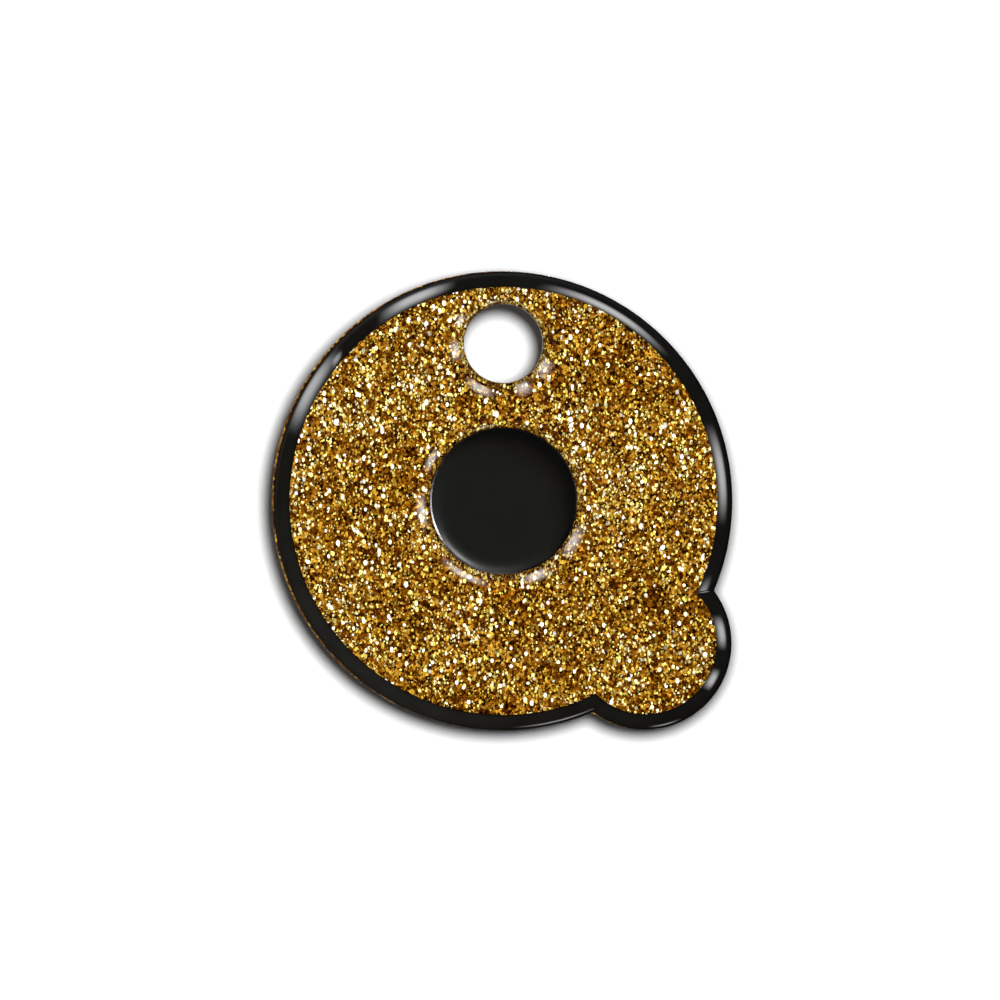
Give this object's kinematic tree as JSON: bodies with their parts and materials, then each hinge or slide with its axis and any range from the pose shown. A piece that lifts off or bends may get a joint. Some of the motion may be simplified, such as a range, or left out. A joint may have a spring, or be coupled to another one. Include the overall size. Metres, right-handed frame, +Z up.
{
  "type": "enamel pin",
  "caption": "Round glitter enamel pin with a side lobe, a black outline, a recessed black centre, a hanging hole, and posts with butterfly clutches behind.",
  "frame": {"origin": "centre of the round body, on the back face of the base plate", "axes": "+Z up towards the hanging hole, -Y out of the decorated face, +Y along the posts away from the back face, +X to the viewer's right, towards the side lobe"},
  "size_m": [0.03, 0.0129, 0.03],
  "materials": {
    "black_nickel": "polished black nickel plating on die-cast zinc alloy",
    "gold_glitter": "enamel resin filled with gold metal flakes",
    "black_enamel": "gloss black enamel",
    "clear_resin": "clear domed epoxy resin",
    "post_steel": "bright nickel plated steel",
    "solder": "dull tin solder",
    "clutch_brass": "bright stamped brass",
    "wing_brass": "bright spring brass",
    "spring_steel": "drawn spring wire"
  },
  "bodies": {
    "badge": {"base_plate": "black_nickel", "glitter_enamel": "gold_glitter", "outline_enamel": "black_enamel", "centre_enamel": "black_enamel", "clear_dome": "clear_resin", "post_solder": "solder", "left_post": "post_steel", "right_post": "post_steel"},
    "left_grip": {"left_clutch_spring": "spring_steel"},
    "left_clutch": {"left_clutch_dish": "clutch_brass", "left_clutch_cover": "clutch_brass"},
    "left_lower_wing": {"left_clutch_lower_wing": "wing_brass"},
    "left_upper_wing": {"left_clutch_upper_wing": "wing_brass"},
    "right_grip": {"right_clutch_spring": "spring_steel"},
    "right_clutch": {"right_clutch_dish": "clutch_brass", "right_clutch_cover": "clutch_brass"},
    "right_lower_wing": {"right_clutch_lower_wing": "wing_brass"},
    "right_upper_wing": {"right_clutch_upper_wing": "wing_brass"}
  },
  "joints": [
    {"name": "left_clutch_slide", "type": "slide", "parent": "badge", "child": "left_grip", "axis": [0, 1, 0], "range_m": [-0.003, 0.009]},
    {"name": "left_clutch_spin", "type": "hinge", "parent": "left_grip", "child": "left_clutch", "pos_m": [-0.0075, 0, 0], "axis": [0, 1, 0], "continuous": true},
    {"name": "left_lower_wing_squeeze", "type": "hinge", "parent": "left_clutch", "child": "left_lower_wing", "pos_m": [-0.0075, 0.00605, -0.002], "axis": [1, 0, 0], "range_deg": [0, 8]},
    {"name": "left_upper_wing_squeeze", "type": "hinge", "parent": "left_clutch", "child": "left_upper_wing", "pos_m": [-0.0075, 0.00605, 0.002], "axis": [-1, 0, 0], "range_deg": [0, 8]},
    {"name": "right_clutch_slide", "type": "slide", "parent": "badge", "child": "right_grip", "axis": [0, 1, 0], "range_m": [-0.003, 0.009]},
    {"name": "right_clutch_spin", "type": "hinge", "parent": "right_grip", "child": "right_clutch", "pos_m": [0.0075, 0, 0], "axis": [0, 1, 0], "continuous": true},
    {"name": "right_lower_wing_squeeze", "type": "hinge", "parent": "right_clutch", "child": "right_lower_wing", "pos_m": [0.0075, 0.00605, -0.002], "axis": [1, 0, 0], "range_deg": [0, 8]},
    {"name": "right_upper_wing_squeeze", "type": "hinge", "parent": "right_clutch", "child": "right_upper_wing", "pos_m": [0.0075, 0.00605, 0.002], "axis": [-1, 0, 0], "range_deg": [0, 8]}
  ]
}
